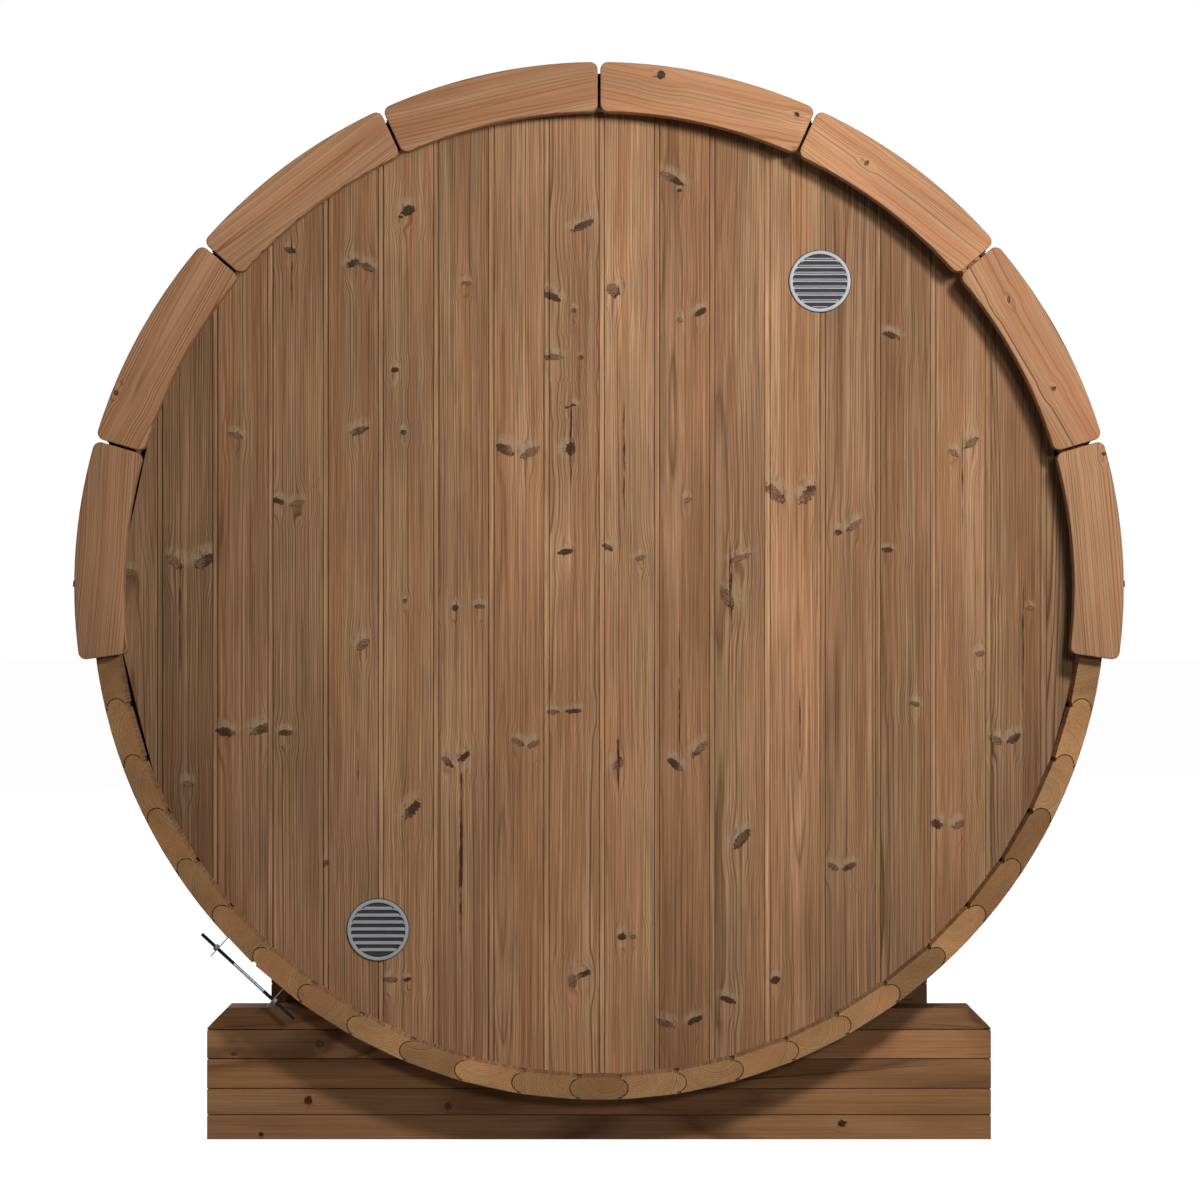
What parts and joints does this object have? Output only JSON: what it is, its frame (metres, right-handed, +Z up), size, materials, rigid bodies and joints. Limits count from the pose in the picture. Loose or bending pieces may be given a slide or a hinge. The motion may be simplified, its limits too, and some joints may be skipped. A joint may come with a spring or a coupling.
{
  "type": "barrel sauna",
  "caption": "Lying barrel of grooved wooden staves with recessed board ends, ring trim, shingled roof, louvred vents, a boarded door and two cradles.",
  "frame": {"origin": "on the ground under the middle of the barrel, at the centre of the footprint", "axes": "+Z up, Y along the barrel's axis with the rear wall towards -Y and the door towards +Y, +X to the right as the rear wall is looked at"},
  "size_m": [2.076, 1.88, 2.1429],
  "materials": {
    "stave_wood": "planed heat-treated softwood",
    "wall_wood": "planed knotty heat-treated softwood",
    "trim_wood": "planed softwood with rounded edges",
    "cradle_wood": "planed heat-treated softwood",
    "roof_shingle": "matt black mineral-grained bitumen shingle",
    "band_steel": "zinc-plated steel",
    "vent_metal": "satin grey paint",
    "door_wood": "planed heat-treated softwood",
    "floor_wood": "planed heat-treated softwood"
  },
  "bodies": {
    "root": {"bottom_staves": "stave_wood", "door_frame": "door_wood", "door_handle_inner": "door_wood", "door_handle_outer": "door_wood", "door_hinges": "band_steel", "door_leaf": "door_wood", "door_ledges": "door_wood", "drip_batten_left": "trim_wood", "drip_batten_right": "trim_wood", "floor_bearers": "floor_wood", "floor_slats": "floor_wood", "front_band": "band_steel", "front_cradle": "cradle_wood", "front_saddle_board": "cradle_wood", "front_tension_nuts": "band_steel", "front_tension_rod": "band_steel", "front_trims_left": "trim_wood", "front_trims_right": "trim_wood", "front_wall_left": "wall_wood", "front_wall_over_door": "wall_wood", "front_wall_right": "wall_wood", "front_wall_under_door": "wall_wood", "left_lower_staves": "stave_wood", "left_middle_staves": "stave_wood", "left_upper_staves": "stave_wood", "lower_vent": "vent_metal", "rear_band": "band_steel", "rear_cradle": "cradle_wood", "rear_saddle_board": "cradle_wood", "rear_tension_nuts": "band_steel", "rear_tension_rod": "band_steel", "rear_trims_left": "trim_wood", "rear_trims_right": "trim_wood", "rear_wall_left": "wall_wood", "rear_wall_right": "wall_wood", "ridge_cap": "roof_shingle", "right_lower_staves": "stave_wood", "right_middle_staves": "stave_wood", "right_upper_staves": "stave_wood", "roof_left": "roof_shingle", "roof_right": "roof_shingle", "top_staves": "stave_wood", "upper_vent": "vent_metal", "vent_shutters": "door_wood"}
  },
  "joints": []
}
